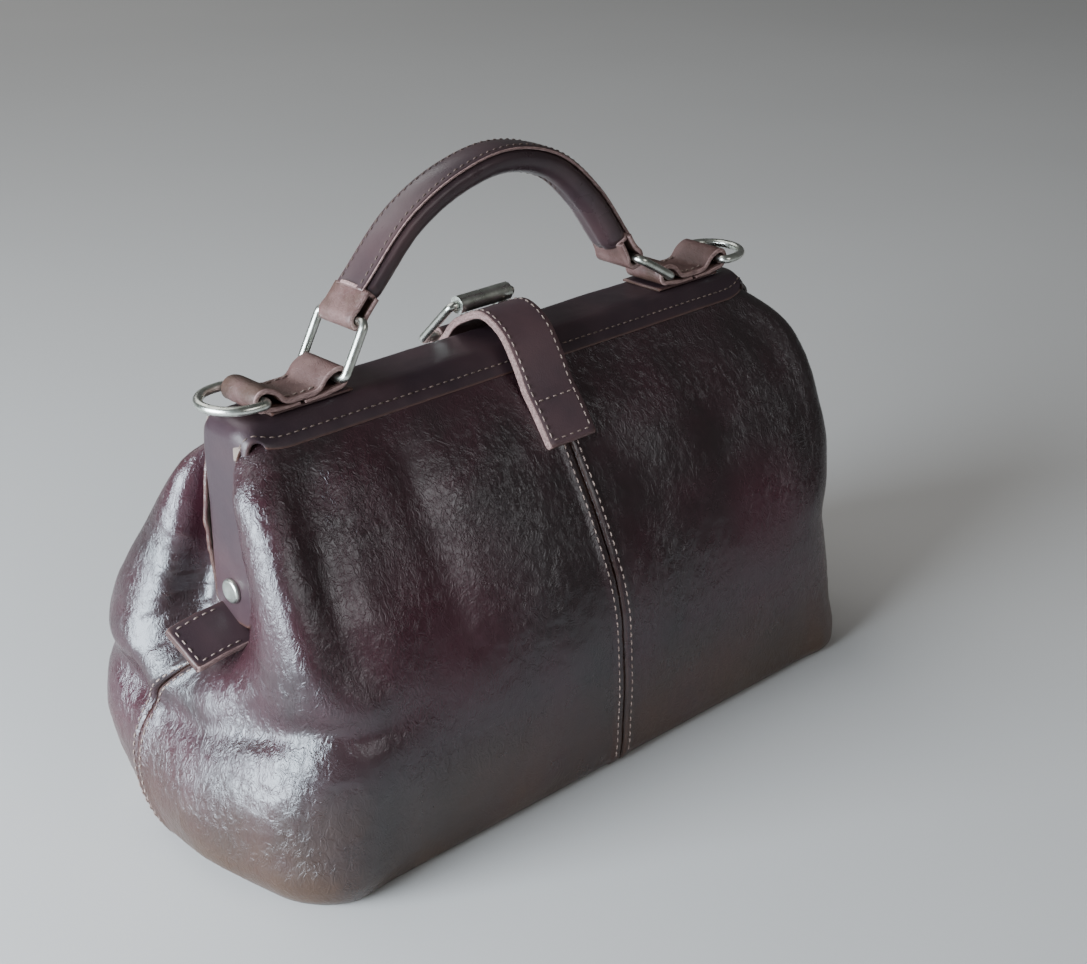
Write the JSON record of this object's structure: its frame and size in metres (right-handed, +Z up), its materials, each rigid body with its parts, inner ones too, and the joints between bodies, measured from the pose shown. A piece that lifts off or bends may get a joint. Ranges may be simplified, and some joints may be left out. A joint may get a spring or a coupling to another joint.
{
  "type": "doctor bag",
  "caption": "Leather doctor bag with a hinged double frame, arched padded handle on rings, end D-rings and a closing strap with roller buckle.",
  "frame": {"origin": "centre of the flat base, on the surface the bag stands on", "axes": "+X along the bag from left to right, -Y the front with the sewn end of the strap, +Z up"},
  "size_m": [0.4026, 0.182, 0.314],
  "materials": {
    "leather": "glossy",
    "raw_leather": "satin",
    "nickel": "aged",
    "steel": "satin",
    "lining": "matt",
    "board": "matt",
    "rope": "matt"
  },
  "bodies": {
    "root": {"base_panel": "leather", "base_board": "board", "lining": "lining", "front_left_lower_panel": "leather", "rear_left_lower_panel": "leather", "front_right_lower_panel": "leather", "rear_right_lower_panel": "leather", "left_gusset": "leather", "left_pivot_rivet": "nickel", "left_pivot_washer": "nickel", "right_gusset": "leather", "right_pivot_rivet": "nickel", "right_pivot_washer": "nickel"},
    "front_frame": {"front_frame_bar": "steel", "front_frame_cover": "leather", "strap_anchor": "leather", "front_left_upper_panel": "leather", "front_right_upper_panel": "leather", "left_handle_tab": "raw_leather", "left_end_tongue": "leather", "right_handle_tab": "raw_leather", "right_end_tongue": "leather"},
    "rear_frame": {"rear_frame_bar": "steel", "rear_frame_cover": "leather", "snap_stud": "nickel", "rear_left_upper_panel": "leather", "rear_right_upper_panel": "leather"},
    "strap": {"closure_strap": "leather", "buckle_frame": "nickel", "buckle_roller": "nickel", "buckle_chape": "leather", "snap_cap": "nickel"},
    "left_dring": {"left_d_ring": "nickel"},
    "right_dring": {"right_d_ring": "nickel"},
    "left_ring": {"left_handle_ring": "nickel"},
    "right_ring": {"right_handle_ring": "nickel"},
    "handle": {"handle_grip": "leather", "handle_core": "rope", "left_handle_loop": "raw_leather", "right_handle_loop": "raw_leather"}
  },
  "joints": [
    {"name": "frame_open", "type": "hinge", "parent": "root", "child": "front_frame", "pos_m": [0, 0, 0.13], "axis": [1, 0, 0], "range_deg": [0, 50]},
    {"name": "rear_frame_open", "type": "hinge", "parent": "root", "child": "rear_frame", "pos_m": [0, 0, 0.13], "axis": [1, 0, 0], "range_deg": [-50, 0]},
    {"name": "strap_lift", "type": "hinge", "parent": "front_frame", "child": "strap", "pos_m": [0, -0.0375, 0.1943], "axis": [1, 0, 0], "range_deg": [0, 100]},
    {"name": "left_dring_swing", "type": "hinge", "parent": "front_frame", "child": "left_dring", "pos_m": [-0.1525, 0, 0.224], "axis": [0, 1, 0], "range_deg": [0, 120]},
    {"name": "right_dring_swing", "type": "hinge", "parent": "front_frame", "child": "right_dring", "pos_m": [0.1525, 0, 0.224], "axis": [0, -1, 0], "range_deg": [0, 120]},
    {"name": "handle_sway", "type": "hinge", "parent": "front_frame", "child": "left_ring", "pos_m": [-0.1105, 0, 0.224], "axis": [0, -1, 0], "range_deg": [-14, 4]},
    {"name": "handle_turn", "type": "hinge", "parent": "left_ring", "child": "handle", "pos_m": [-0.09692, 0, 0.24849], "axis": [0, -1, 0], "range_deg": [-5.52, 18.08]},
    {"name": "right_ring_swing", "type": "hinge", "parent": "front_frame", "child": "right_ring", "pos_m": [0.1105, 0, 0.224], "axis": [0, -1, 0], "range_deg": [-20.6, 6.24]}
  ],
  "couplings": [
    {"joint": "rear_frame_open", "follows": "frame_open", "ratio": -1},
    {"joint": "strap_lift", "follows": "frame_open", "ratio": 2},
    {"joint": "handle_turn", "follows": "handle_sway", "ratio": -1.2557},
    {"joint": "right_ring_swing", "follows": "handle_sway", "ratio": 1.436}
  ]
}
